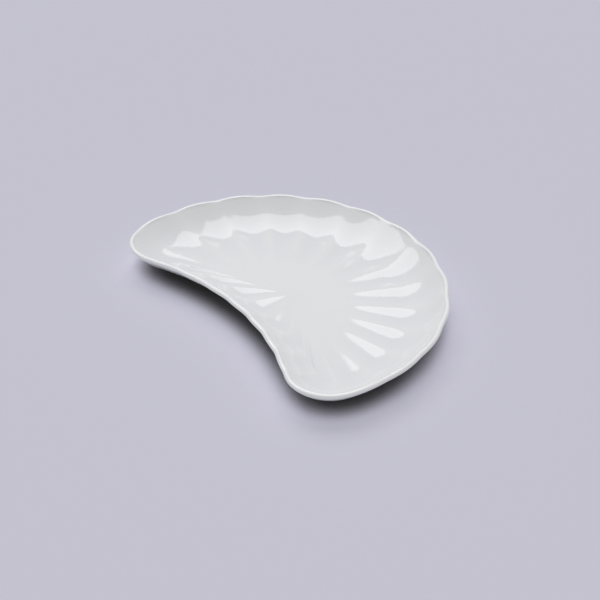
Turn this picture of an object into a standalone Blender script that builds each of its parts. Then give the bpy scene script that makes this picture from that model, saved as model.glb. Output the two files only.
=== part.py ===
"""Crescent plate: a fluted side plate in white glazed porcelain, with a scalloped edge.

A glazed dish, plate_body, stands on a bare ring, foot_ring. Metres, +Z up. The origin is on
the table, under the middle of the plate's box. +X runs along the plate's length, and +Y points
at the middle of its long outer edge, so the hollow edge between the two horns faces -Y.
"""

import math

import bmesh
import bpy

# The outline from above: one long outer arc, a small arc round each horn, and the hollow bay
LENGTH = 0.200
WIDTH = 0.1396
HORN_RADIUS = 0.0245
BAY_RADIUS = 0.150

# The dish: its height on its foot, its lip, its curved wall, narrower along the bay, and its floor
HEIGHT = 0.0177
LIP_THICKNESS = 0.0030
LIP_SLOPE = math.radians(48.0)
WALL_RUN = 0.0265
BAY_WALL_RUN = 0.0205
WALL_FOOT_HORN_RADIUS = 0.008
FLOOR_THICKNESS = 0.0033

# The plain well in the middle of the floor, set in from the outer edge and from the bay
WELL_INSET = 0.0565
WELL_HORN_RADIUS = 0.003
WELL_BAY_RADIUS = 0.100
WELL_BAY_INSET = 0.030

# Scallops along the edge: those of the outer edge go on round each horn by the horn turn, then one
# scallop rounds the horn, and finer ones fill the bay. Between two of them the edge is drawn in, and
# down by a share of that
LOBE_PITCH = 0.028
HORN_TURN = math.radians(15.0)
BAY_LOBE_PITCH = 0.019
NOTCH_INSET = 0.0008
BAY_NOTCH_INSET = 0.0007
NOTCH_DROP_SHARE = 0.6
NOTCH_SOFTNESS = 0.40

# Flutes, one to a scallop, that run down the wall and in to the well: their depth at the foot of the
# wall in the middle of each edge and round the horns, how late it changes towards the horns, the power
# with which it runs out over the floor, and how far into the well those of the bay's middle reach
FLUTE_DEPTH = 0.0014
BAY_FLUTE_DEPTH = 0.0010
HORN_FLUTE_DEPTH = 0.0007
FLUTE_FADE = 8
BAY_FLUTE_FADE = 2
FLUTE_DEPTH_AT_LIP = 0.0003
FLUTE_RUN_OUT = 0.75
BAY_FLUTE_RUN_OUT = 1.0
BAY_FLUTE_REACH = 0.010
RIDGE_SOFTNESS = 0.38

# The bare ring that the plate stands on, set back from the foot of the wall
FOOT_HEIGHT = 0.0020
FOOT_WIDTH = 0.0040
FOOT_EDGE = 0.0006
FOOT_SETBACK = 0.0095
FOOT_BAY_SETBACK = 0.0065
FOOT_HORN_RADIUS = 0.014
FOOT_GAP = 0.0003

# How finely the curved faces are divided
STATIONS_PER_LOBE = 10
LIP_STEPS = 4
WALL_STEPS = 6
FLOOR_STEPS = 4
UNDERSIDE_STEPS = 5
FOOT_STATIONS_PER_ARC = 16

# Colours as linear red, green and blue, and how rough each surface is
GLAZE_WHITE = (0.71, 0.715, 0.725, 1.0)
GLAZE_ROUGHNESS = 0.12
BISQUE_WHITE = (0.62, 0.60, 0.57, 1.0)
BISQUE_ROUGHNESS = 0.75
CRISP_CORNER = math.radians(40.0)

OUTER_RADIUS = LENGTH / 2
UNDERSIDE_Z = FOOT_HEIGHT + FOOT_GAP
FLOOR_Z = UNDERSIDE_Z + FLOOR_THICKNESS
LIP_RADIUS = LIP_THICKNESS / 2
LIP_CENTRE_Z = HEIGHT - LIP_RADIUS
INNER_LIP_INSET = LIP_RADIUS * (1 + math.sin(LIP_SLOPE))
INNER_LIP_Z = LIP_CENTRE_Z + LIP_RADIUS * math.cos(LIP_SLOPE)
WALL_RISE = INNER_LIP_Z - FLOOR_Z

OUTER_ARC, HORN_ARC, BAY_ARC = range(3)


class Crescent:
    """A closed outline of an outer arc, two horn arcs and a bay arc, alike on both sides of Y.

    The outer arc's centre is the local origin, and the bay arc's centre lies below it on Y.
    Angles are measured from +Y towards +X.
    """

    def __init__(self, outer_radius, horn_radius, bay_radius, bay_drop):
        reach = outer_radius - horn_radius
        span = bay_radius + horn_radius
        cosine = (span**2 - reach**2 - bay_drop**2) / (2 * reach * bay_drop)
        self.horn_angle = math.acos(cosine)
        horn_x = reach * math.sin(self.horn_angle)
        horn_y = reach * math.cos(self.horn_angle)
        self.bay_angle = math.atan2(horn_x, horn_y + bay_drop)
        self.centres = ((0.0, 0.0), (horn_x, horn_y), (0.0, -bay_drop))
        self.radii = (outer_radius, horn_radius, bay_radius)
        self.starts = (0.0, self.horn_angle, self.bay_angle)
        self.turns = (self.horn_angle, self.bay_angle + math.pi - self.horn_angle, -self.bay_angle)
        self.lengths = [radius * abs(turn) for radius, turn in zip(self.radii, self.turns)]

    def at(self, arc, share):
        """The point at a share, from 0 to 1, of an arc's way on the +X side."""
        angle = self.starts[arc] + self.turns[arc] * share
        x, y = self.centres[arc]
        return x + self.radii[arc] * math.sin(angle), y + self.radii[arc] * math.cos(angle)

    def at_length(self, length):
        """The arc, and the share of it, at a way from the middle of the outer edge."""
        arc = OUTER_ARC
        while arc < BAY_ARC and length > self.lengths[arc]:
            length -= self.lengths[arc]
            arc += 1
        return arc, min(length / self.lengths[arc], 1.0)


def plate_outline():
    """The outline of the plate, with its bay placed so that the plate has its stated width."""
    reach = OUTER_RADIUS - HORN_RADIUS
    horn_y = OUTER_RADIUS + HORN_RADIUS - WIDTH
    horn_x = math.sqrt(reach**2 - horn_y**2)
    bay_drop = math.sqrt((BAY_RADIUS + HORN_RADIUS) ** 2 - horn_x**2) - horn_y
    return Crescent(OUTER_RADIUS, HORN_RADIUS, BAY_RADIUS, bay_drop)


def inner_crescent(inset, bay_inset, horn_radius):
    """A crescent inside the outline, parallel to its outer edge and to its bay."""
    bay_drop = -OUTLINE.centres[BAY_ARC][1]
    return Crescent(OUTER_RADIUS - inset, horn_radius, BAY_RADIUS + bay_inset, bay_drop)


def well_outline():
    """The outline of the plain well, whose bay is rounder than the plate's."""
    bay_y = OUTLINE.at(BAY_ARC, 1.0)[1] + WELL_BAY_INSET
    return Crescent(
        OUTER_RADIUS - WELL_INSET, WELL_HORN_RADIUS, WELL_BAY_RADIUS, WELL_BAY_RADIUS - bay_y
    )


OUTLINE = plate_outline()
WALL_FOOT = inner_crescent(WALL_RUN, BAY_WALL_RUN, WALL_FOOT_HORN_RADIUS)
WELL = well_outline()


def odd_count(stretch, pitch):
    """How many lobes of about the pitch fill a stretch that has a lobe at its middle."""
    return 2 * round((stretch / pitch - 1) / 2) + 1


class Scallops:
    """The lobes of the edge: even ones round the outside, one on each horn, even ones in the bay."""

    def __init__(self):
        outer_length, horn_length, bay_length = OUTLINE.lengths
        outer_end = outer_length + HORN_RADIUS * HORN_TURN
        bay_start = outer_length + horn_length
        half_outer = odd_count(2 * outer_end, LOBE_PITCH) / 2
        self.half_total = half_outer + 1 + odd_count(2 * bay_length, BAY_LOBE_PITCH) / 2
        self.counts = (0.0, half_outer, half_outer + 1, self.half_total)
        self.lengths = (0.0, outer_end, bay_start, bay_start + bay_length)

    def length_at(self, count):
        """The way along the outline at which a count of lobes has passed."""
        last = len(self.counts) - 2
        run = next((i for i in range(last) if count <= self.counts[i + 1]), last)
        share = (count - self.counts[run]) / (self.counts[run + 1] - self.counts[run])
        return self.lengths[run] + (self.lengths[run + 1] - self.lengths[run]) * share


SCALLOPS = Scallops()


def lobe_swell(count, softness):
    """1 at the middle of a lobe and 0 between two, where the softness rounds the corner."""
    cosine = math.cos(math.pi * count)
    rounded = math.sqrt(cosine**2 + softness**2) - softness
    return rounded / (math.sqrt(1 + softness**2) - softness)


def notch_inset(arc, share):
    """How far the edge is drawn in between two scallops."""
    if arc == HORN_ARC:
        return NOTCH_INSET + (BAY_NOTCH_INSET - NOTCH_INSET) * share
    return NOTCH_INSET if arc == OUTER_ARC else BAY_NOTCH_INSET


def flute_depth(arc, share):
    """Depth of the flutes where they meet the wall's foot."""
    if arc == OUTER_ARC:
        return FLUTE_DEPTH + (HORN_FLUTE_DEPTH - FLUTE_DEPTH) * share**FLUTE_FADE
    if arc == BAY_ARC:
        return BAY_FLUTE_DEPTH + (HORN_FLUTE_DEPTH - BAY_FLUTE_DEPTH) * (1 - share) ** BAY_FLUTE_FADE
    return HORN_FLUTE_DEPTH


def flute_run_out(arc, share):
    """The power with which a flute runs out over the floor."""
    if arc == HORN_ARC:
        return FLUTE_RUN_OUT + (BAY_FLUTE_RUN_OUT - FLUTE_RUN_OUT) * share
    return FLUTE_RUN_OUT if arc == OUTER_ARC else BAY_FLUTE_RUN_OUT


def flute_reach(arc, share):
    """How far into the well a flute goes on past the well's outline."""
    return BAY_FLUTE_REACH * share**2 * (3 - 2 * share) if arc == BAY_ARC else 0.0


class Station:
    """One upright section of the dish, from its lip down the wall and across to the well."""

    def __init__(self, count):
        mirrored = count > SCALLOPS.half_total
        half_count = 2 * SCALLOPS.half_total - count if mirrored else count
        side = -1 if mirrored else 1
        arc, share = OUTLINE.at_length(SCALLOPS.length_at(half_count))
        edge_x, edge_y = OUTLINE.at(arc, share)
        foot_x, foot_y = WALL_FOOT.at(arc, share)
        well_x, well_y = WELL.at(arc, share)
        further = flute_reach(arc, share) / math.hypot(well_x - foot_x, well_y - foot_y)
        end_x = well_x + (well_x - foot_x) * further
        end_y = well_y + (well_y - foot_y) * further
        self.edge = (side * edge_x, edge_y)
        self.foot = (side * foot_x, foot_y)
        self.flute_end = (side * end_x, end_y)
        self.run = math.hypot(foot_x - edge_x, foot_y - edge_y)
        self.inward = (side * (foot_x - edge_x) / self.run, (foot_y - edge_y) / self.run)
        self.notch = notch_inset(arc, share) * (1 - lobe_swell(half_count, NOTCH_SOFTNESS))
        self.flute = lobe_swell(half_count, RIDGE_SOFTNESS)
        self.flute_depth = flute_depth(arc, share)
        self.run_out = flute_run_out(arc, share)
        self.wall_width = self.run - INNER_LIP_INSET
        self.lip_rise = math.tan(LIP_SLOPE) * self.wall_width

    def wall_share(self, inset):
        """1 at the inner edge of the lip, falling to 0 at the foot of the wall."""
        return min((self.run - inset) / self.wall_width, 1.0)

    def wall_height(self, inset):
        """Height of the plain wall's upper face, which is level at its foot and steepest at the lip."""
        share = self.wall_share(inset)
        return FLOOR_Z + share**2 * (WALL_RISE * (3 - 2 * share) + self.lip_rise * (share - 1))

    def wall_slope(self, inset):
        """Angle of the plain wall's upper face."""
        share = self.wall_share(inset)
        rise = share * (WALL_RISE * 6 * (1 - share) + self.lip_rise * (3 * share - 2))
        return math.atan2(rise, self.wall_width)

    def wall_point(self, inset, z):
        """A point on the wall or lip, drawn in and down between two lobes, most of all at the lip."""
        drawn = self.notch * self.wall_share(inset) ** 2
        x = self.edge[0] + self.inward[0] * (inset + drawn)
        y = self.edge[1] + self.inward[1] * (inset + drawn)
        return x, y, z - NOTCH_DROP_SHARE * drawn


def upper_wall(station):
    """Points of the upper face from the inner edge of the lip to just above the wall's foot."""
    points = []
    for step in range(WALL_STEPS):
        inset = INNER_LIP_INSET + station.wall_width * step / WALL_STEPS
        slope = station.wall_slope(inset)
        lip_share = station.wall_share(inset)
        depth = station.flute_depth + (FLUTE_DEPTH_AT_LIP - station.flute_depth) * lip_share
        pressed = depth * station.flute
        z = station.wall_height(inset) - pressed * math.cos(slope)
        points.append(station.wall_point(inset - pressed * math.sin(slope), z))
    return points


def floor(station):
    """Points of the upper face from the wall's foot to the well, where the flute ends."""
    foot_x, foot_y = station.foot
    end_x, end_y = station.flute_end
    points = []
    for step in range(FLOOR_STEPS + 1):
        share = step / FLOOR_STEPS
        x = foot_x + (end_x - foot_x) * share
        y = foot_y + (end_y - foot_y) * share
        pressed = station.flute_depth * station.flute * (1 - share) ** station.run_out
        points.append((x, y, FLOOR_Z - pressed))
    return points


def lip(station):
    """Points round the lip, between its outer and its inner edge."""
    points = []
    for step in range(1, LIP_STEPS):
        angle = math.pi * (1 - step / LIP_STEPS) - LIP_SLOPE
        inset = LIP_RADIUS - LIP_RADIUS * math.sin(angle)
        points.append(station.wall_point(inset, LIP_CENTRE_Z + LIP_RADIUS * math.cos(angle)))
    return points


def underside(station):
    """Points of the lower face from where it turns flat out to the lip's outer edge."""
    points = []
    for step in range(UNDERSIDE_STEPS + 1):
        share = 1 - step / UNDERSIDE_STEPS
        inset = INNER_LIP_INSET + station.wall_width * share
        slope = station.wall_slope(inset)
        lip_share = station.wall_share(inset) ** 2
        thickness = FLOOR_THICKNESS + (LIP_THICKNESS - FLOOR_THICKNESS) * lip_share
        z = station.wall_height(inset) - thickness * math.cos(slope)
        points.append(station.wall_point(inset - thickness * math.sin(slope), z))
    return points


def dish_loops():
    """Loops of the dish from the flat underside, round the lip, to the well."""
    steps = round(2 * SCALLOPS.half_total) * STATIONS_PER_LOBE
    stations = [Station(step / STATIONS_PER_LOBE) for step in range(steps)]
    sections = [underside(s) + lip(s) + upper_wall(s) + floor(s) for s in stations]
    return list(zip(*sections))


def foot_loop(inset, z):
    """One loop of the foot ring at an inset from its outer edge and a height."""
    crescent = inner_crescent(
        WALL_RUN + FOOT_SETBACK + inset,
        BAY_WALL_RUN + FOOT_BAY_SETBACK + inset,
        FOOT_HORN_RADIUS - inset,
    )
    half = []
    for arc in (OUTER_ARC, HORN_ARC, BAY_ARC):
        for step in range(FOOT_STATIONS_PER_ARC):
            half.append(crescent.at(arc, step / FOOT_STATIONS_PER_ARC))
    half.append(crescent.at(BAY_ARC, 1.0))
    other_half = [(-x, y) for x, y in half[-2:0:-1]]
    return [(x, y, z) for x, y in half + other_half]


def foot_loops():
    """Loops round the foot ring's section: flat on top, with its standing edges eased."""
    section = (
        (0.0, FOOT_HEIGHT),
        (0.0, FOOT_EDGE),
        (FOOT_EDGE, 0.0),
        (FOOT_WIDTH - FOOT_EDGE, 0.0),
        (FOOT_WIDTH, FOOT_EDGE),
        (FOOT_WIDTH, FOOT_HEIGHT),
    )
    return [foot_loop(inset, z) for inset, z in section]


def mesh_from_loops(name, loops, ring):
    """A closed mesh through a row of point loops: a ring joined end to end, or a capped stack."""
    shape = bmesh.new()
    rows = [[shape.verts.new(point) for point in loop] for loop in loops]
    pairs = list(zip(rows, rows[1:]))
    if ring:
        pairs.append((rows[-1], rows[0]))
    else:
        shape.faces.new(rows[0])
        shape.faces.new(rows[-1])
    for row, following in pairs:
        for i in range(len(row)):
            shape.faces.new((row[i - 1], row[i], following[i], following[i - 1]))
    bmesh.ops.recalc_face_normals(shape, faces=shape.faces)
    mesh = bpy.data.meshes.new(name)
    shape.to_mesh(mesh)
    shape.free()
    return mesh


def plain_material(name, colour, roughness):
    """A non-metal material of one colour."""
    material = bpy.data.materials.new(name)
    material.use_nodes = True
    shader = material.node_tree.nodes["Principled BSDF"]
    shader.inputs["Base Color"].default_value = colour
    shader.inputs["Roughness"].default_value = roughness
    shader.inputs["Metallic"].default_value = 0.0
    return material


def add_piece(name, loops, ring, material, middle_y):
    """Build a piece from its loops and place it so that the plate's middle is over the origin."""
    mesh = mesh_from_loops(name, loops, ring)
    mesh.materials.append(material)
    mesh.shade_smooth()
    mesh.set_sharp_from_angle(angle=CRISP_CORNER)
    piece = bpy.data.objects.new(name, mesh)
    piece.location.y = -middle_y
    bpy.context.scene.collection.objects.link(piece)


def main():
    """Clear the scene, then build the dish and its foot ring."""
    for old in list(bpy.data.objects):
        bpy.data.objects.remove(old)
    dish = dish_loops()
    across = [y for loop in dish for _, y, _ in loop]
    middle_y = (min(across) + max(across)) / 2
    glaze = plain_material("white_glaze", GLAZE_WHITE, GLAZE_ROUGHNESS)
    bisque = plain_material("bare_bisque", BISQUE_WHITE, BISQUE_ROUGHNESS)
    add_piece("plate_body", dish, False, glaze, middle_y)
    add_piece("foot_ring", foot_loops(), True, bisque, middle_y)


main()
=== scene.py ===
"""Crescent plate: a fluted side plate in white glazed porcelain, dressed for its picture.

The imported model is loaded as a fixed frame. Both of its solids, the dish and the foot ring, are
replaced by finer meshes of the same sizes, finished in glaze and in bare bisque. Metres, +Z up:
+X runs along the plate's length, and +Y points at the middle of its long outer edge.
"""

import logging
import math
from dataclasses import dataclass, field
from enum import Enum
from functools import cached_property
from typing import Iterable, Sequence

import bmesh
import bpy
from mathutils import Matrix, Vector


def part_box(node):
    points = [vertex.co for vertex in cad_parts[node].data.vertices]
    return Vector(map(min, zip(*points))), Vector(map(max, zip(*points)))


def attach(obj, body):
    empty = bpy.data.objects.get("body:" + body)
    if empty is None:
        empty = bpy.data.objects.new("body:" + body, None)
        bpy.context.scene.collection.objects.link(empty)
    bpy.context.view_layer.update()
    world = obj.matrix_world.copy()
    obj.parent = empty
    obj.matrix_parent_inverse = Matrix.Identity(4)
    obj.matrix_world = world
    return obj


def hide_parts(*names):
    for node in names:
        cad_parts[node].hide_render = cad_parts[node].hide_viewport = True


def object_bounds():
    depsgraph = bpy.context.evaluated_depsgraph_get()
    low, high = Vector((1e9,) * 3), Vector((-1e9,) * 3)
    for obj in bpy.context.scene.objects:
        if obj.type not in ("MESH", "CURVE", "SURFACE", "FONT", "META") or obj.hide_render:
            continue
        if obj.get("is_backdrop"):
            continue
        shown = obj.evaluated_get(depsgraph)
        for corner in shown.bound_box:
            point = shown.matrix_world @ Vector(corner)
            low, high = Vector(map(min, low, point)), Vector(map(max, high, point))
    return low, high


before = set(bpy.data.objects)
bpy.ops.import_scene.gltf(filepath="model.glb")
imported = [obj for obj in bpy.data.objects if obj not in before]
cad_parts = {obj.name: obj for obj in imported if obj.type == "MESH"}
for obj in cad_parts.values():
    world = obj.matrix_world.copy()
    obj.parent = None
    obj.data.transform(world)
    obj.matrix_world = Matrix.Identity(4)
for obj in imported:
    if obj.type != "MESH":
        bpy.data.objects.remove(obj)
CAD_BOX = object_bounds()

PlanPoint = tuple[float, float]
Point = tuple[float, float, float]
Loop = list[Point]
GlazedPoint = tuple[Point, float]
Colour = tuple[float, float, float]
Span = tuple[float, float]

BODY = "root"
CRISP_CORNER = math.radians(40.0)

log = logging.getLogger("crescent_plate")


class Arc(Enum):
    """The three kinds of arc that a crescent's outline is made of."""

    OUTER = 0
    HORN = 1
    BAY = 2


class Layer(Enum):
    """Values that a mesh carries for its finish, one number to a point."""

    POOLED_AND_HIGHLIGHT = "glaze_pooled_and_highlight"
    WORN = "foot_worn"


class LampRole(Enum):
    """What a lamp does: it is mirrored in the glaze, or it lights the surfaces."""

    MIRRORED = "mirrored"
    LIGHTING = "lighting"


def eased(share: float) -> float:
    """A share from 0 to 1 that starts and ends gently."""
    return share**2 * (3 - 2 * share)


@dataclass(frozen=True)
class ArcRun:
    """One round stretch of an outline. Angles are measured from +Y towards +X."""

    centre: PlanPoint
    radius: float
    start: float
    turn: float

    @property
    def length(self) -> float:
        """The way along the stretch."""
        return self.radius * abs(self.turn)

    def at(self, share: float) -> PlanPoint:
        """Find a point of the stretch.

        Args:
            share: The share of the way along, from 0 to 1.

        Returns:
            The point.
        """
        angle = self.start + self.turn * share
        x, y = self.centre
        return x + self.radius * math.sin(angle), y + self.radius * math.cos(angle)


@dataclass(frozen=True)
class Crescent:
    """A closed outline of an outer arc, two horn arcs and a bay arc, alike on both sides of Y.

    The outer arc's centre is the local origin, and the bay arc's centre lies below it on Y.
    """

    outer_radius: float
    horn_radius: float
    bay_radius: float
    bay_drop: float

    @classmethod
    def of_width(
        cls, length: float, width: float, horn_radius: float, bay_radius: float
    ) -> "Crescent":
        """Place the bay so that the crescent has a stated length and width.

        Args:
            length: Size from horn to horn, which is the outer arc's diameter.
            width: Size from the outer edge to the tips of the horns.
            horn_radius: Radius round each horn.
            bay_radius: Radius of the hollow edge.

        Returns:
            The crescent of that size.
        """
        outer_radius = length / 2
        reach = outer_radius - horn_radius
        horn_y = outer_radius + horn_radius - width
        horn_x = math.sqrt(reach**2 - horn_y**2)
        bay_drop = math.sqrt((bay_radius + horn_radius) ** 2 - horn_x**2) - horn_y
        return cls(outer_radius, horn_radius, bay_radius, bay_drop)

    def inside(self, inset: float, bay_inset: float, horn_radius: float) -> "Crescent":
        """A crescent inside this one, parallel to its outer edge and to its bay.

        Args:
            inset: Distance from the outer edge.
            bay_inset: Distance from the bay.
            horn_radius: Radius round each of its horns.

        Returns:
            The inner crescent, about the same centres.
        """
        return Crescent(
            self.outer_radius - inset, horn_radius, self.bay_radius + bay_inset, self.bay_drop
        )

    @cached_property
    def runs(self) -> dict[Arc, ArcRun]:
        """The three stretches of the +X half.

        Returns:
            Each arc's stretch, in order from the middle of the outer edge to the bay's middle.
        """
        reach = self.outer_radius - self.horn_radius
        span = self.bay_radius + self.horn_radius
        cosine = (span**2 - reach**2 - self.bay_drop**2) / (2 * reach * self.bay_drop)
        horn_angle = math.acos(cosine)
        horn = (reach * math.sin(horn_angle), reach * math.cos(horn_angle))
        bay_angle = math.atan2(horn[0], horn[1] + self.bay_drop)
        return {
            Arc.OUTER: ArcRun((0.0, 0.0), self.outer_radius, 0.0, horn_angle),
            Arc.HORN: ArcRun(horn, self.horn_radius, horn_angle, bay_angle + math.pi - horn_angle),
            Arc.BAY: ArcRun((0.0, -self.bay_drop), self.bay_radius, bay_angle, -bay_angle),
        }

    def at(self, arc: Arc, share: float) -> PlanPoint:
        """The point at a share, from 0 to 1, of an arc's way on the +X side."""
        return self.runs[arc].at(share)

    def at_length(self, way: float) -> tuple[Arc, float]:
        """Find the arc at a way along the +X half.

        Args:
            way: Length from the middle of the outer edge.

        Returns:
            The arc, and the share of it that lies behind.
        """
        for arc in (Arc.OUTER, Arc.HORN):
            length = self.runs[arc].length
            if way <= length:
                return arc, way / length
            way -= length
        return Arc.BAY, min(way / self.runs[Arc.BAY].length, 1.0)


@dataclass(frozen=True)
class PlatePlan:
    """The outlines of the plate as seen from above: its edge, its wall's foot, its well and its foot."""

    length: float = 0.200
    width: float = 0.1396
    horn_radius: float = 0.0245
    bay_radius: float = 0.150
    wall_run: float = 0.0265
    bay_wall_run: float = 0.0205
    wall_foot_horn_radius: float = 0.008
    well_inset: float = 0.0565
    well_horn_radius: float = 0.003
    well_bay_radius: float = 0.100
    well_bay_inset: float = 0.030
    bay_flute_reach: float = 0.010
    foot_setback: float = 0.0095
    foot_bay_setback: float = 0.0065
    foot_horn_radius: float = 0.014

    @cached_property
    def edge(self) -> Crescent:
        """The outer edge of the lip, before it is scalloped."""
        return Crescent.of_width(self.length, self.width, self.horn_radius, self.bay_radius)

    @cached_property
    def wall_foot(self) -> Crescent:
        """Where the wall meets the floor."""
        return self.edge.inside(self.wall_run, self.bay_wall_run, self.wall_foot_horn_radius)

    def well(self, inset: float = 0.0) -> Crescent:
        """The outline of the plain well, whose bay is rounder than the plate's.

        Args:
            inset: How far inside the edge of the well the outline lies.

        Returns:
            The outline.
        """
        bay_y = self.edge.at(Arc.BAY, 1.0)[1] + self.well_bay_inset
        outer_radius = self.length / 2 - self.well_inset
        bay_drop = self.well_bay_radius - bay_y
        well = Crescent(outer_radius, self.well_horn_radius, self.well_bay_radius, bay_drop)
        return well.inside(inset, inset, self.well_horn_radius - inset)

    def foot(self, inset: float) -> Crescent:
        """A line along the foot ring.

        Args:
            inset: Distance in from the ring's outer side.

        Returns:
            The outline of that line.
        """
        return self.edge.inside(
            self.wall_run + self.foot_setback + inset,
            self.bay_wall_run + self.foot_bay_setback + inset,
            self.foot_horn_radius - inset,
        )


def odd_count(stretch: float, pitch: float) -> int:
    """How many lobes of about the pitch fill a stretch that has a lobe at its middle."""
    return 2 * round((stretch / pitch - 1) / 2) + 1


def lobe_swell(count: float, softness: float) -> float:
    """Shape of one lobe across its width.

    Args:
        count: Lobes passed, so that whole numbers are the middles of lobes.
        softness: How much the corner between two lobes is rounded.

    Returns:
        1 at the middle of a lobe, falling to 0 between two.
    """
    rounded = math.sqrt(math.cos(math.pi * count) ** 2 + softness**2) - softness
    return rounded / (math.sqrt(1 + softness**2) - softness)


@dataclass(frozen=True)
class Scallops:
    """The lobes of the edge: even ones round the outside, one on each horn, finer ones in the bay."""

    outline: Crescent
    lobe_pitch: float = 0.028
    horn_turn: float = math.radians(15.0)
    bay_lobe_pitch: float = 0.019

    @cached_property
    def knots(self) -> list[tuple[float, float]]:
        """Where the spacing of the lobes changes.

        Returns:
            Pairs of a count of lobes and the way along the outline at which it has passed.
        """
        outer, horn, bay = (self.outline.runs[arc].length for arc in Arc)
        outer_end = outer + self.outline.horn_radius * self.horn_turn
        half_outer = odd_count(2 * outer_end, self.lobe_pitch) / 2
        half_bay = odd_count(2 * bay, self.bay_lobe_pitch) / 2
        return [
            (0.0, 0.0),
            (half_outer, outer_end),
            (half_outer + 1, outer + horn),
            (half_outer + 1 + half_bay, outer + horn + bay),
        ]

    @property
    def half_total(self) -> float:
        """How many lobes lie on the +X half."""
        return self.knots[-1][0]

    def way_at(self, count: float) -> float:
        """Find the way along the outline at which a count of lobes has passed.

        Args:
            count: Lobes from the middle of the outer edge.

        Returns:
            The way in metres.
        """
        for (low, low_way), (high, high_way) in zip(self.knots, self.knots[1:]):
            if count <= high:
                return low_way + (high_way - low_way) * (count - low) / (high - low)
        return self.knots[-1][1]


@dataclass(frozen=True)
class Flutes:
    """The hollows that run from the scallops down the wall and in to the well."""

    depth: float = 0.0014
    bay_depth: float = 0.0010
    horn_depth: float = 0.0007
    fade: float = 8.0
    bay_fade: float = 2.0
    depth_at_lip: float = 0.0003
    ridge_softness: float = 0.38
    run_out: float = 0.75
    bay_run_out: float = 1.0
    notch_inset: float = 0.0008
    bay_notch_inset: float = 0.0007
    notch_drop: float = 0.6
    notch_softness: float = 0.40

    def depth_at(self, arc: Arc, share: float) -> float:
        """Depth where a flute meets the wall's foot, in the middle of its lobe.

        Args:
            arc: The arc of the outline that the flute comes from.
            share: The share of that arc that lies behind.

        Returns:
            The depth in metres.
        """
        if arc is Arc.OUTER:
            return self.depth + (self.horn_depth - self.depth) * share**self.fade
        if arc is Arc.BAY:
            return self.bay_depth + (self.horn_depth - self.bay_depth) * (1 - share) ** self.bay_fade
        return self.horn_depth

    def run_out_at(self, arc: Arc, share: float) -> float:
        """How soon a flute runs out over the floor: later from the outer edge than from the bay.

        Args:
            arc: The arc of the outline that the flute comes from.
            share: The share of that arc that lies behind.

        Returns:
            The power of the share of the floor that is left.
        """
        if arc is Arc.HORN:
            return self.run_out + (self.bay_run_out - self.run_out) * share
        return self.run_out if arc is Arc.OUTER else self.bay_run_out

    def notch_at(self, arc: Arc, share: float) -> float:
        """How far the edge is drawn in between two lobes.

        Args:
            arc: The arc of the outline that the notch lies on.
            share: The share of that arc that lies behind.

        Returns:
            The distance in metres.
        """
        if arc is Arc.HORN:
            return self.notch_inset + (self.bay_notch_inset - self.notch_inset) * share
        return self.notch_inset if arc is Arc.OUTER else self.bay_notch_inset


@dataclass(frozen=True)
class Section:
    """The upright section of the dish: its heights, its lip and its thickness."""

    height: float = 0.0177
    lip_thickness: float = 0.0030
    lip_slope: float = math.radians(48.0)
    floor_thickness: float = 0.0033
    foot_height: float = 0.0020
    foot_gap: float = 0.0003

    @property
    def underside_z(self) -> float:
        """Height of the flat underside."""
        return self.foot_height + self.foot_gap

    @property
    def floor_z(self) -> float:
        """Height of the well."""
        return self.underside_z + self.floor_thickness

    @property
    def lip_radius(self) -> float:
        """Radius of the rounded lip."""
        return self.lip_thickness / 2

    @property
    def lip_centre_z(self) -> float:
        """Height of the middle of the lip's rounding."""
        return self.height - self.lip_radius

    @property
    def inner_lip_inset(self) -> float:
        """Distance from the edge to where the lip's rounding meets the wall's upper face."""
        return self.lip_radius * (1 + math.sin(self.lip_slope))

    @property
    def wall_rise(self) -> float:
        """Height of the wall's upper face over the well."""
        inner_lip_z = self.lip_centre_z + self.lip_radius * math.cos(self.lip_slope)
        return inner_lip_z - self.floor_z


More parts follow.
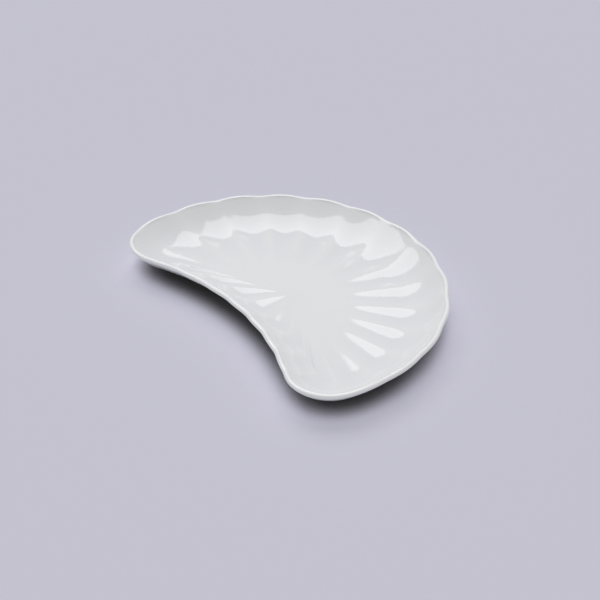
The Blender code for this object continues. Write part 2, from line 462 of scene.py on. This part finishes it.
@dataclass(frozen=True)
class Station:
    """One upright cut through the dish, from its lip down the wall and across to the well."""

    section: Section
    flutes: Flutes
    arc: Arc
    share: float
    side: int
    edge: PlanPoint
    wall_foot: PlanPoint
    notch: float
    flute: float

    def on(self, outline: Crescent) -> PlanPoint:
        """The point of another outline that belongs to this cut."""
        x, y = outline.at(self.arc, self.share)
        return self.side * x, y

    def on_well(self, plan: PlatePlan, inset: float = 0.0) -> PlanPoint:
        """Where this cut meets the well, into which the flutes at the middle of the bay reach farther.

        Args:
            plan: The plate's outlines.
            inset: How far inside the edge of the well the point lies.

        Returns:
            The point.
        """
        x, y = self.on(plan.well(inset))
        if self.arc is not Arc.BAY:
            return x, y
        foot_x, foot_y = self.wall_foot
        more = plan.bay_flute_reach * eased(self.share) / math.hypot(x - foot_x, y - foot_y)
        return x + (x - foot_x) * more, y + (y - foot_y) * more

    @cached_property
    def run(self) -> float:
        """Distance from the edge to the wall's foot."""
        return math.dist(self.edge, self.wall_foot)

    @cached_property
    def inward(self) -> PlanPoint:
        """Direction from the edge to the wall's foot."""
        (x, y), (foot_x, foot_y) = self.edge, self.wall_foot
        return (foot_x - x) / self.run, (foot_y - y) / self.run

    @cached_property
    def wall_width(self) -> float:
        """Width of the wall's upper face, without the lip."""
        return self.run - self.section.inner_lip_inset

    @cached_property
    def flute_depth(self) -> float:
        """Depth of the flute at the wall's foot, in the middle of its lobe."""
        return self.flutes.depth_at(self.arc, self.share)

    @property
    def run_out(self) -> float:
        """How soon the flute runs out over the floor."""
        return self.flutes.run_out_at(self.arc, self.share)

    def wall_share(self, inset: float) -> float:
        """1 at the inner edge of the lip, falling to 0 at the foot of the wall."""
        return min((self.run - inset) / self.wall_width, 1.0)

    def wall_height(self, inset: float) -> float:
        """Height of the plain wall's upper face, which is level at its foot and steepest at the lip.

        Args:
            inset: Distance in from the edge.

        Returns:
            The height in metres.
        """
        share = self.wall_share(inset)
        lip_rise = math.tan(self.section.lip_slope) * self.wall_width
        rise = self.section.wall_rise * (3 - 2 * share) + lip_rise * (share - 1)
        return self.section.floor_z + share**2 * rise

    def wall_slope(self, inset: float) -> float:
        """Angle of the plain wall's upper face.

        Args:
            inset: Distance in from the edge.

        Returns:
            The angle from the level.
        """
        share = self.wall_share(inset)
        lip_rise = math.tan(self.section.lip_slope) * self.wall_width
        rise = share * (self.section.wall_rise * 6 * (1 - share) + lip_rise * (3 * share - 2))
        return math.atan2(rise, self.wall_width)

    def wall_point(self, inset: float, z: float) -> Point:
        """A point on the wall or lip, drawn in and down between two lobes, most of all at the lip.

        Args:
            inset: Distance in from the plain edge.
            z: Height of the plain wall or lip there.

        Returns:
            The point with the scallop's notch worked in.
        """
        drawn = self.notch * self.wall_share(inset) ** 2
        x = self.edge[0] + self.inward[0] * (inset + drawn)
        y = self.edge[1] + self.inward[1] * (inset + drawn)
        return x, y, z - self.flutes.notch_drop * drawn


@dataclass(frozen=True)
class Mottle:
    """A cloudy pattern of a finish.

    The grain is the size of its coarsest features in metres, the detail counts its finer layers,
    the roughness is their strength, and the span is the range of its values that shows.
    """

    grain: float
    detail: float
    roughness: float = 0.5
    span: Span = (0.0, 1.0)


class NodeBench:
    """A material's nodes, laid out and joined up by short calls."""

    def __init__(self, name: str) -> None:
        """Start a material that has only its shader and its output.

        Args:
            name: Name of the material.
        """
        self.material = bpy.data.materials.new(name)
        self.material.use_nodes = True
        self.tree = self.material.node_tree
        self.shader = self.tree.nodes["Principled BSDF"]

    def add(self, kind: str, **settings: object) -> bpy.types.Node:
        """Add a node.

        Args:
            kind: Blender's name of the node type.
            settings: Values of the node's own properties.

        Returns:
            The new node.
        """
        node = self.tree.nodes.new(kind)
        for name, value in settings.items():
            setattr(node, name, value)
        return node

    def join(self, source: bpy.types.NodeSocket, target: bpy.types.NodeSocket) -> None:
        """Link an output to an input."""
        self.tree.links.new(source, target)

    def set_shader(self, **values: object) -> None:
        """Set values on the shader's own sockets, with underscores for the spaces in their names."""
        for name, value in values.items():
            self.shader.inputs[name.replace("_", " ")].default_value = value

    def place(self) -> bpy.types.NodeSocket:
        """The surface point in the plate's own frame, in metres."""
        return self.add("ShaderNodeTexCoord").outputs["Object"]

    def noise(self, mottle: Mottle) -> bpy.types.NodeSocket:
        """A cloudy pattern over its whole range.

        Args:
            mottle: The pattern.

        Returns:
            The pattern's value, from 0 to 1.
        """
        node = self.add("ShaderNodeTexNoise")
        node.inputs["Scale"].default_value = 1 / mottle.grain
        node.inputs["Detail"].default_value = mottle.detail
        node.inputs["Roughness"].default_value = mottle.roughness
        self.join(self.place(), node.inputs["Vector"])
        return node.outputs["Fac"]

    def mottled(self, mottle: Mottle, low: float = 0.0, high: float = 1.0) -> bpy.types.NodeSocket:
        """The part of a cloudy pattern that shows, carried over to a range of values."""
        return self.scaled(self.noise(mottle), low, high, mottle.span)

    def layer(self, layer: Layer) -> bpy.types.NodeSocket:
        """A value that the mesh carries."""
        return self.add("ShaderNodeAttribute", attribute_name=layer.value).outputs["Fac"]

    def scaled(
        self,
        value: bpy.types.NodeSocket,
        low: float,
        high: float,
        span: Span = (0.0, 1.0),
        smooth: bool = False,
    ) -> bpy.types.NodeSocket:
        """A value carried over from one range to another, and held within it.

        Args:
            value: What is carried over.
            low: Result at the start of the span.
            high: Result at the end of the span.
            span: Range that the value comes from.
            smooth: True to ease out of the low end and into the high end.

        Returns:
            The new value.
        """
        node = self.add("ShaderNodeMapRange", interpolation_type="SMOOTHSTEP" if smooth else "LINEAR")
        self.join(value, node.inputs["Value"])
        for name, number in zip(("From Min", "From Max", "To Min", "To Max"), (*span, low, high)):
            node.inputs[name].default_value = number
        return node.outputs["Result"]

    def mixed(
        self, share: bpy.types.NodeSocket, first: bpy.types.NodeSocket | Colour, second: Colour
    ) -> bpy.types.NodeSocket:
        """One colour going over into another.

        Args:
            share: 0 for the first colour, 1 for the second.
            first: A colour, or the result of an earlier mix.
            second: A colour.

        Returns:
            The mixed colour.
        """
        node = self.add("ShaderNodeMix", data_type="RGBA")
        self.join(share, node.inputs["Factor"])
        if isinstance(first, tuple):
            node.inputs["A"].default_value = (*first, 1.0)
        else:
            self.join(first, node.inputs["A"])
        node.inputs["B"].default_value = (*second, 1.0)
        return node.outputs["Result"]

    def bumped(self, height: bpy.types.NodeSocket, depth: float) -> bpy.types.NodeSocket:
        """A fine relief on the surface.

        Args:
            height: Pattern of the relief, from 0 to 1.
            depth: Height of the relief in metres.

        Returns:
            The normal.
        """
        node = self.add("ShaderNodeBump")
        node.inputs["Distance"].default_value = depth
        self.join(height, node.inputs["Height"])
        return node.outputs["Normal"]


@dataclass(frozen=True)
class WhiteGlaze:
    """Clear glossy glaze over white porcelain, deeper in tone where it has pooled, with a painted
    highlight on the lip's crest.
    """

    white: Colour = (0.705, 0.711, 0.722)
    pooled: Colour = (0.672, 0.684, 0.705)
    # A whiter colour painted on the lip's crest as a highlight.
    crest_highlight: Colour = (0.762, 0.767, 0.774)
    cloud: Colour = (0.695, 0.699, 0.706)
    refraction: float = 1.65
    smooth: float = 0.07
    matter: float = 0.11
    clouds: Mottle = Mottle(grain=0.035, detail=3.0, span=(0.35, 0.65))
    breath: Mottle = Mottle(grain=0.012, detail=4.0, span=(0.3, 0.7))
    ripple: Mottle = Mottle(grain=0.009, detail=1.0)
    ripple_depth: float = 0.000012

    def material(self) -> bpy.types.Material:
        """Mix the glaze.

        Returns:
            The finished material.
        """
        bench = NodeBench("white_glaze")
        body = bench.mixed(bench.mottled(self.clouds), self.white, self.cloud)
        pooled = bench.layer(Layer.POOLED_AND_HIGHLIGHT)
        toned = bench.mixed(pooled, body, self.pooled)
        # Below 0 the carried value marks the lip's crest, which is mixed towards the whiter colour as a
        # painted highlight.
        colour = bench.mixed(bench.scaled(pooled, 1.0, 0.0, (-1.0, 0.0)), toned, self.crest_highlight)
        bench.join(colour, bench.shader.inputs["Base Color"])
        roughness = bench.mottled(self.breath, self.smooth, self.matter)
        bench.join(roughness, bench.shader.inputs["Roughness"])
        normal = bench.bumped(bench.noise(self.ripple), self.ripple_depth)
        bench.join(normal, bench.shader.inputs["Normal"])
        bench.set_shader(IOR=self.refraction)
        return bench.material


@dataclass(frozen=True)
class BareBisque:
    """Unglazed porcelain, matt and fine-grained, greyed where it has rubbed on tables."""

    clay: Colour = (0.62, 0.60, 0.57)
    toasted: Colour = (0.55, 0.50, 0.44)
    rubbed: Colour = (0.42, 0.41, 0.40)
    dry: float = 0.72
    dusty: float = 0.88
    toast: Mottle = Mottle(grain=0.02, detail=4.0, span=(0.45, 0.7))
    toast_share: float = 0.6
    scuffs: Mottle = Mottle(grain=0.003, detail=5.0, roughness=0.7, span=(0.5, 0.62))
    grain: Mottle = Mottle(grain=0.0005, detail=3.0, roughness=0.6)
    grain_depth: float = 0.00006

    def material(self) -> bpy.types.Material:
        """Mix the bisque.

        Returns:
            The finished material.
        """
        bench = NodeBench("bare_bisque")
        clay = bench.mixed(bench.mottled(self.toast, 0.0, self.toast_share), self.clay, self.toasted)
        wear = bench.add("ShaderNodeMath", operation="MULTIPLY")
        bench.join(bench.mottled(self.scuffs), wear.inputs[0])
        bench.join(bench.layer(Layer.WORN), wear.inputs[1])
        colour = bench.mixed(wear.outputs["Value"], clay, self.rubbed)
        bench.join(colour, bench.shader.inputs["Base Color"])
        grain = bench.noise(self.grain)
        bench.join(bench.scaled(grain, self.dry, self.dusty), bench.shader.inputs["Roughness"])
        bench.join(bench.bumped(grain, self.grain_depth), bench.shader.inputs["Normal"])
        return bench.material


@dataclass(frozen=True)
class TablePaper:
    """The plain pale paper that the plate stands on, with a deep and short shadow painted into its
    colour.

    How much of the sky the plate hides from a point decides the painted shade there. Where the plate
    hides a little, the paper is painted lighter to even it out, no further than the key lamp's share of
    the light allows, and within the shadow span it goes over to a dark painted shadow colour.
    """

    colour: Colour = (0.514, 0.503, 0.581)
    fleck: Colour = (0.507, 0.497, 0.575)
    flecks: Mottle = Mottle(grain=0.004, detail=3.0)
    # A dark colour painted where the plate's shadow falls.
    painted_shadow: Colour = (0.08, 0.08, 0.08)
    sky_reach: float = 0.5
    sky_samples: int = 16
    shadow_span: Span = (0.22, 0.64)
    lamp_share: float = 0.28
    roughness: float = 0.95

    def material(self) -> bpy.types.Material:
        """Make the paper.

        Returns:
            The finished material.
        """
        bench = NodeBench("table_paper")
        paper = bench.mixed(bench.noise(self.flecks), self.colour, self.fleck)
        sky = bench.add("ShaderNodeAmbientOcclusion", samples=self.sky_samples)
        sky.inputs["Distance"].default_value = self.sky_reach
        # Painted light: the paper is lightened where the plate hides part of the sky.
        painted_light_gain = bench.add("ShaderNodeMath", operation="DIVIDE")
        painted_light_gain.inputs[0].default_value = 1.0
        bench.join(bench.scaled(sky.outputs["AO"], self.lamp_share, 1.0), painted_light_gain.inputs[1])
        painted_light_paper = bench.add("ShaderNodeVectorMath", operation="SCALE")
        bench.join(paper, painted_light_paper.inputs[0])
        bench.join(painted_light_gain.outputs[0], painted_light_paper.inputs["Scale"])
        # Painted shadow: the paper goes over to a dark colour where the plate hides most of the sky.
        painted_shadow_share = bench.scaled(sky.outputs["AO"], 1.0, 0.0, self.shadow_span, smooth=True)
        shaded = bench.mixed(painted_shadow_share, painted_light_paper.outputs[0], self.painted_shadow)
        bench.join(shaded, bench.shader.inputs["Base Color"])
        bench.set_shader(Roughness=self.roughness, Specular_IOR_Level=0.0)
        return bench.material


def mesh_from_loops(
    name: str, loops: Sequence[Loop], ring: bool, layer: Layer, values: Sequence[Sequence[float]]
) -> bpy.types.Mesh:
    """Skin a row of closed point loops.

    Args:
        name: Name of the mesh.
        loops: Loops of as many points each.
        ring: True to join the last loop to the first, False to cap both with a flat face.
        layer: The value that the points carry for their finish.
        values: That value, for each point of each loop.

    Returns:
        A closed mesh, shaded smooth but for its crisp corners.
    """
    shape = bmesh.new()
    carried = shape.verts.layers.float.new(layer.value)
    rows = []
    for loop, loop_values in zip(loops, values):
        row = [shape.verts.new(point) for point in loop]
        for vertex, value in zip(row, loop_values):
            vertex[carried] = value
        rows.append(row)
    pairs = list(zip(rows, rows[1:]))
    if ring:
        pairs.append((rows[-1], rows[0]))
    else:
        shape.faces.new(rows[0])
        shape.faces.new(rows[-1])
    for row, following in pairs:
        for i in range(len(row)):
            shape.faces.new((row[i - 1], row[i], following[i], following[i - 1]))
    bmesh.ops.recalc_face_normals(shape, faces=shape.faces)
    mesh = bpy.data.meshes.new(name)
    shape.to_mesh(mesh)
    shape.free()
    mesh.shade_smooth()
    mesh.set_sharp_from_angle(angle=CRISP_CORNER)
    return mesh


def add_piece(
    mesh: bpy.types.Mesh, material: bpy.types.Material, node: str
) -> bpy.types.Object:
    """Put a finished mesh in the place of a solid of the frame.

    Args:
        mesh: The mesh, in the frame's own place.
        material: Its finish.
        node: The solid that it stands for.

    Returns:
        The piece, which rides on the plate.
    """
    mesh.materials.append(material)
    piece = bpy.data.objects.new(mesh.name, mesh)
    bpy.context.scene.collection.objects.link(piece)
    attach(piece, BODY)
    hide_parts(node)
    log.info("%s: %d points, %d faces", piece.name, len(mesh.vertices), len(mesh.polygons))
    return piece


@dataclass
class FootRing:
    """The bare ring that the plate stands on, wiped free of glaze before firing."""

    plan: PlatePlan
    section: Section
    width: float = 0.0040
    edge_radius: float = 0.0006
    edge_steps: int = 6
    stations_per_arc: int = 96

    def profile(self) -> list[PlanPoint]:
        """The ring's section, flat on top, with its standing edges rounded.

        Returns:
            Insets from its outer side, with heights.
        """
        radius = self.edge_radius
        outer = [(0.0, self.section.foot_height)]
        for step in range(self.edge_steps + 1):
            angle = math.pi / 2 * step / self.edge_steps
            outer.append((radius - radius * math.cos(angle), radius - radius * math.sin(angle)))
        return outer + [(self.width - inset, z) for inset, z in reversed(outer)]

    def loop(self, inset: float, z: float, shift: float) -> Loop:
        """One loop along the ring.

        Args:
            inset: Distance in from the ring's outer side.
            z: Height.
            shift: How far the plate's plan is moved along Y.

        Returns:
            The loop's points.
        """
        crescent = self.plan.foot(inset)
        shares = [step / self.stations_per_arc for step in range(self.stations_per_arc)]
        half = [crescent.at(arc, share) for arc in Arc for share in shares]
        half.append(crescent.at(Arc.BAY, 1.0))
        other_half = [(-x, y) for x, y in half[-2:0:-1]]
        return [(x, y + shift, z) for x, y in half + other_half]

    def worn(self, z: float) -> float:
        """How much a height of the ring rubs on the table: 1 on its standing face, 0 on its sides."""
        return max(0.0, 1.0 - z / self.edge_radius)

    def build(self, shift: float) -> bpy.types.Mesh:
        """Build the ring's mesh in its place.

        Args:
            shift: How far the plate's plan is moved along Y.

        Returns:
            The mesh.
        """
        profile = self.profile()
        loops = [self.loop(inset, z, shift) for inset, z in profile]
        values = [[self.worn(z)] * len(loop) for (_, z), loop in zip(profile, loops)]
        return mesh_from_loops("foot_ring_bisque", loops, True, Layer.WORN, values)

    def dress(self, shift: float, finish: BareBisque) -> bpy.types.Object:
        """Build the ring and put it in the frame with its finish."""
        return add_piece(self.build(shift), finish.material(), "foot_ring")


@dataclass
class Dish:
    """The glazed body of the plate: well, fluted wall, scalloped lip and underside."""

    plan: PlatePlan
    section: Section
    scallops: Scallops
    flutes: Flutes
    foot: FootRing
    collar_run: float = 0.0014
    collar_bead: float = 0.0003
    bead_flat: Span = (0.25, 0.75)
    bead_drop: float = 0.4
    glaze_line: float = 0.0012
    crest_width: float = math.radians(38.0)
    seat_gap: float = 0.00004
    rest_inset: float = 0.0004
    stations_per_lobe: int = 32
    lip_steps: int = 12
    wall_steps: int = 24
    floor_steps: int = 24
    underside_steps: int = 12
    collar_steps: int = 6

    def station(self, count: float) -> Station:
        """Make one cut through the dish.

        Args:
            count: Lobes from the middle of the outer edge, going round by +X.

        Returns:
            The cut.
        """
        half_total = self.scallops.half_total
        mirrored = count > half_total
        half_count = 2 * half_total - count if mirrored else count
        side = -1 if mirrored else 1
        arc, share = self.plan.edge.at_length(self.scallops.way_at(half_count))
        edge_x, edge_y = self.plan.edge.at(arc, share)
        foot_x, foot_y = self.plan.wall_foot.at(arc, share)
        notch_share = 1 - lobe_swell(half_count, self.flutes.notch_softness)
        return Station(
            section=self.section,
            flutes=self.flutes,
            arc=arc,
            share=share,
            side=side,
            edge=(side * edge_x, edge_y),
            wall_foot=(side * foot_x, foot_y),
            notch=self.flutes.notch_at(arc, share) * notch_share,
            flute=lobe_swell(half_count, self.flutes.ridge_softness),
        )

    def collar_profile(self) -> list[PlanPoint]:
        """The underside's section at the foot.

        The glaze curves down to the ring on both sides and ends in a bead, with the ring let in
        between.

        Returns:
            Insets from the ring's outer side, with heights, from its inner to its outer side.
        """
        drop = self.section.underside_z - self.glaze_line
        sweep = self.collar_run - self.collar_bead
        side = []
        for step in range(self.collar_steps + 1):
            angle = math.pi / 2 * step / self.collar_steps
            out = self.collar_bead + sweep * (1 - math.sin(angle))
            side.append((out, self.glaze_line + drop * math.cos(angle)))
        bead_z = self.glaze_line - self.collar_bead * self.bead_drop
        side += [(self.collar_bead * share, bead_z) for share in reversed(self.bead_flat)]
        side.append((self.seat_gap, self.glaze_line))
        side.append((self.seat_gap, self.section.foot_height + self.seat_gap))
        inner = [(self.foot.width + out, z) for out, z in side]
        return inner + [(-out, z) for out, z in reversed(side)]

    def underside(self, station: Station) -> Iterable[GlazedPoint]:
        """Points of the lower face from inside the foot ring out to the lip's outer edge.

        Args:
            station: The cut that they lie on.

        Yields:
            Each point and how much glaze has pooled there.
        """
        section = self.section
        profile = self.collar_profile()
        rest = (profile[0][0] + self.rest_inset, section.underside_z)
        for inset, z in [rest] + profile:
            x, y = station.on(self.plan.foot(inset))
            yield (x, y, z), 0.0
        for step in range(self.underside_steps + 1):
            share = 1 - step / self.underside_steps
            inset = section.inner_lip_inset + station.wall_width * share
            slope = station.wall_slope(inset)
            lip_share = station.wall_share(inset) ** 2
            thinning = (section.lip_thickness - section.floor_thickness) * lip_share
            thickness = section.floor_thickness + thinning
            z = station.wall_height(inset) - thickness * math.cos(slope)
            yield station.wall_point(inset - thickness * math.sin(slope), z), 0.0

    def lip(self, station: Station) -> Iterable[GlazedPoint]:
        """Points round the lip, between its outer and its inner edge.

        Args:
            station: The cut that they lie on.

        Yields:
            Each point and how much glaze has pooled there, below 0 on the crest, which is painted whiter
            as a highlight.
        """
        section = self.section
        for step in range(1, self.lip_steps):
            angle = math.pi * (1 - step / self.lip_steps) - section.lip_slope
            inset = section.lip_radius * (1 - math.sin(angle))
            z = section.lip_centre_z + section.lip_radius * math.cos(angle)
            # Below 0 on the crest: the glaze is painted whiter there as a highlight.
            yield station.wall_point(inset, z), -max(0.0, 1 - (angle / self.crest_width) ** 2)

    def upper_wall(self, station: Station) -> Iterable[GlazedPoint]:
        """Points of the upper face from the inner edge of the lip to just above the wall's foot.

        Args:
            station: The cut that they lie on.

        Yields:
            Each point and how much glaze has pooled there.
        """
        for step in range(self.wall_steps):
            share = step / self.wall_steps
            inset = self.section.inner_lip_inset + station.wall_width * share
            slope = station.wall_slope(inset)
            lip_share = station.wall_share(inset)
            depth = station.flute_depth + (self.flutes.depth_at_lip - station.flute_depth) * lip_share
            pressed = depth * station.flute
            z = station.wall_height(inset) - pressed * math.cos(slope)
            yield station.wall_point(inset - pressed * math.sin(slope), z), station.flute * share

    def floor(self, station: Station) -> Iterable[GlazedPoint]:
        """Points of the upper face from the wall's foot to just inside the well.

        Args:
            station: The cut that they lie on.

        Yields:
            Each point and how much glaze has pooled there.
        """
        foot_x, foot_y = station.wall_foot
        well_x, well_y = station.on_well(self.plan)
        for step in range(self.floor_steps + 1):
            share = step / self.floor_steps
            x = foot_x + (well_x - foot_x) * share
            y = foot_y + (well_y - foot_y) * share
            left = (1 - share) ** station.run_out
            pressed = station.flute_depth * station.flute * left
            yield (x, y, self.section.floor_z - pressed), station.flute * left
        x, y = station.on_well(self.plan, self.rest_inset)
        yield (x, y, self.section.floor_z), 0.0

    def build(self, shift: float) -> bpy.types.Mesh:
        """Build the dish's mesh in its place.

        Args:
            shift: How far the plate's plan is moved along Y.

        Returns:
            The mesh.
        """
        steps = round(2 * self.scallops.half_total) * self.stations_per_lobe
        cuts = []
        for step in range(steps):
            station = self.station(step / self.stations_per_lobe)
            cut = [*self.underside(station), *self.lip(station)]
            cut += [*self.upper_wall(station), *self.floor(station)]
            # Each point carries its pooled glaze, and on the lip's crest a negative value for its
            # painted highlight.
            cuts.append([((x, y + shift, z), pooled) for (x, y, z), pooled in cut])
        rows = list(zip(*cuts))
        loops = [[point for point, _ in row] for row in rows]
        values = [[pooled for _, pooled in row] for row in rows]
        return mesh_from_loops("plate_body_glazed", loops, False, Layer.POOLED_AND_HIGHLIGHT, values)

    def dress(self, shift: float, finish: WhiteGlaze) -> bpy.types.Object:
        """Build the dish and put it in the frame with its finish."""
        return add_piece(self.build(shift), finish.material(), "plate_body")


@dataclass
class CrescentPlate:
    """The whole plate: the dish and the ring under it."""

    plan: PlatePlan = field(default_factory=PlatePlan)
    section: Section = field(default_factory=Section)
    flutes: Flutes = field(default_factory=Flutes)

    def shift(self) -> float:
        """How far the plan moves along Y, so that its outer edge is where the frame's is."""
        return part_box("plate_body")[1].y - self.plan.edge.outer_radius

    def dress(self) -> list[bpy.types.Object]:
        """Build both pieces and put them in the frame with their finishes.

        Returns:
            The pieces.
        """
        foot = FootRing(self.plan, self.section)
        dish = Dish(self.plan, self.section, Scallops(self.plan.edge), self.flutes, foot)
        shift = self.shift()
        return [dish.dress(shift, WhiteGlaze()), foot.dress(shift, BareBisque())]


@dataclass(frozen=True)
class Softbox:
    """A flat lamp that hangs level and faces down, placed and sized in parts of its own height."""

    name: str
    role: LampRole
    height: float
    back: float
    left: float
    across: float
    along: float
    radiance: float
    turn: float = 0.0

    def hang(self, away: Vector) -> None:
        """Hang the lamp over the plate.

        Args:
            away: The level direction in which the camera looks.
        """
        right = Vector((away.y, -away.x, 0.0))
        lamp = bpy.data.lights.new(self.name, "AREA")
        lamp.shape = "RECTANGLE"
        lamp.size = self.across * self.height
        lamp.size_y = self.along * self.height
        lamp.energy = self.radiance * math.pi * lamp.size * lamp.size_y
        softbox = bpy.data.objects.new(self.name, lamp)
        softbox.location = (away * self.back - right * self.left) * self.height
        softbox.location.z = self.height
        softbox.rotation_euler.z = math.atan2(right.y, right.x) + self.turn
        softbox.visible_glossy = self.role is LampRole.MIRRORED
        softbox.visible_diffuse = self.role is LampRole.LIGHTING
        bpy.context.scene.collection.objects.link(softbox)


@dataclass
class Studio:
    """A plain pale table in a bright room, with a softbox mirrored in the glaze and a far key lamp."""

    target: Point = (0.01883, -0.02234, 0.0170)
    azimuth: float = math.radians(52.757)
    elevation: float = math.radians(35.884)
    distance: float = 0.7213
    lens: float = 79.691
    sensor: float = 36.0
    table_reach: float = 5.0
    softbox: Softbox = Softbox(
        name="softbox",
        role=LampRole.MIRRORED,
        height=3.0,
        back=0.387,
        left=0.614,
        across=1.88,
        along=1.05,
        radiance=1.8,
        turn=math.radians(2.0),
    )
    key: Softbox = Softbox(
        name="key",
        role=LampRole.LIGHTING,
        height=100.0,
        back=0.80,
        left=0.25,
        across=1.2,
        along=1.0,
        radiance=1.9,
    )
    room_radiance: float = 0.835
    backdrop: Colour = (0.558, 0.546, 0.631)

    def away(self) -> Vector:
        """The level direction in which the camera looks."""
        return Vector((-math.sin(self.azimuth), math.cos(self.azimuth), 0.0))

    def add_camera(self) -> None:
        """Set up the camera at the picture's viewing angle."""
        level = math.cos(self.elevation)
        back = self.away() * -level + Vector((0.0, 0.0, math.sin(self.elevation)))
        lens = bpy.data.cameras.new("camera")
        lens.lens = self.lens
        lens.sensor_width = self.sensor
        camera = bpy.data.objects.new("camera", lens)
        camera.location = Vector(self.target) + back * self.distance
        camera.rotation_euler = (-back).to_track_quat("-Z", "Y").to_euler()
        bpy.context.scene.collection.objects.link(camera)
        bpy.context.scene.camera = camera

    def add_table(self, finish: TablePaper) -> None:
        """Lay the table that the plate stands on.

        Args:
            finish: Its surface.
        """
        reach = self.table_reach
        mesh = bpy.data.meshes.new("table")
        signs = ((-1, -1), (1, -1), (1, 1), (-1, 1))
        corners = [(reach * x, reach * y, 0.0) for x, y in signs]
        mesh.from_pydata(corners, [], [(0, 1, 2, 3)])
        mesh.materials.append(finish.material())
        table = bpy.data.objects.new("table", mesh)
        bpy.context.scene.collection.objects.link(table)
        table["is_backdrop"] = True

    def add_room(self) -> None:
        """Light the plate evenly from all round, and show the backdrop's colour behind it."""
        world = bpy.data.worlds.new("room")
        world.use_nodes = True
        bpy.context.scene.world = world
        tree = world.node_tree
        light = tree.nodes["Background"]
        light.inputs["Color"].default_value = (1.0, 1.0, 1.0, 1.0)
        light.inputs["Strength"].default_value = self.room_radiance
        shown = tree.nodes.new("ShaderNodeBackground")
        shown.inputs["Color"].default_value = (*self.backdrop, 1.0)
        rays = tree.nodes.new("ShaderNodeLightPath")
        seen = rays.outputs["Is Camera Ray"]
        for kind in ("Is Glossy Ray", "Is Transmission Ray"):
            either = tree.nodes.new("ShaderNodeMath")
            either.operation = "MAXIMUM"
            tree.links.new(seen, either.inputs[0])
            tree.links.new(rays.outputs[kind], either.inputs[1])
            seen = either.outputs["Value"]
        mix = tree.nodes.new("ShaderNodeMixShader")
        tree.links.new(seen, mix.inputs["Fac"])
        tree.links.new(light.outputs["Background"], mix.inputs[1])
        tree.links.new(shown.outputs["Background"], mix.inputs[2])
        tree.links.new(mix.outputs["Shader"], tree.nodes["World Output"].inputs["Surface"])

    def build(self) -> None:
        """Set up the table, the light and the camera."""
        bpy.context.scene.view_settings.view_transform = "Standard"
        self.add_table(TablePaper())
        for lamp in (self.softbox, self.key):
            lamp.hang(self.away())
        self.add_room()
        self.add_camera()


def write_sizes() -> None:
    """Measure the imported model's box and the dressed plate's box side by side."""
    boxes = {"cad": CAD_BOX, "visual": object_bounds()}
    sizes = {name: [list(corner) for corner in box] for name, box in boxes.items()}


def main() -> None:
    """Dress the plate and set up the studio."""
    logging.basicConfig(level=logging.INFO, format="%(name)s: %(message)s")
    pieces = CrescentPlate().dress()
    Studio().build()
    write_sizes()
    log.info("dressed %d pieces on %s", len(pieces), BODY)


if __name__ == "__main__":
    main()
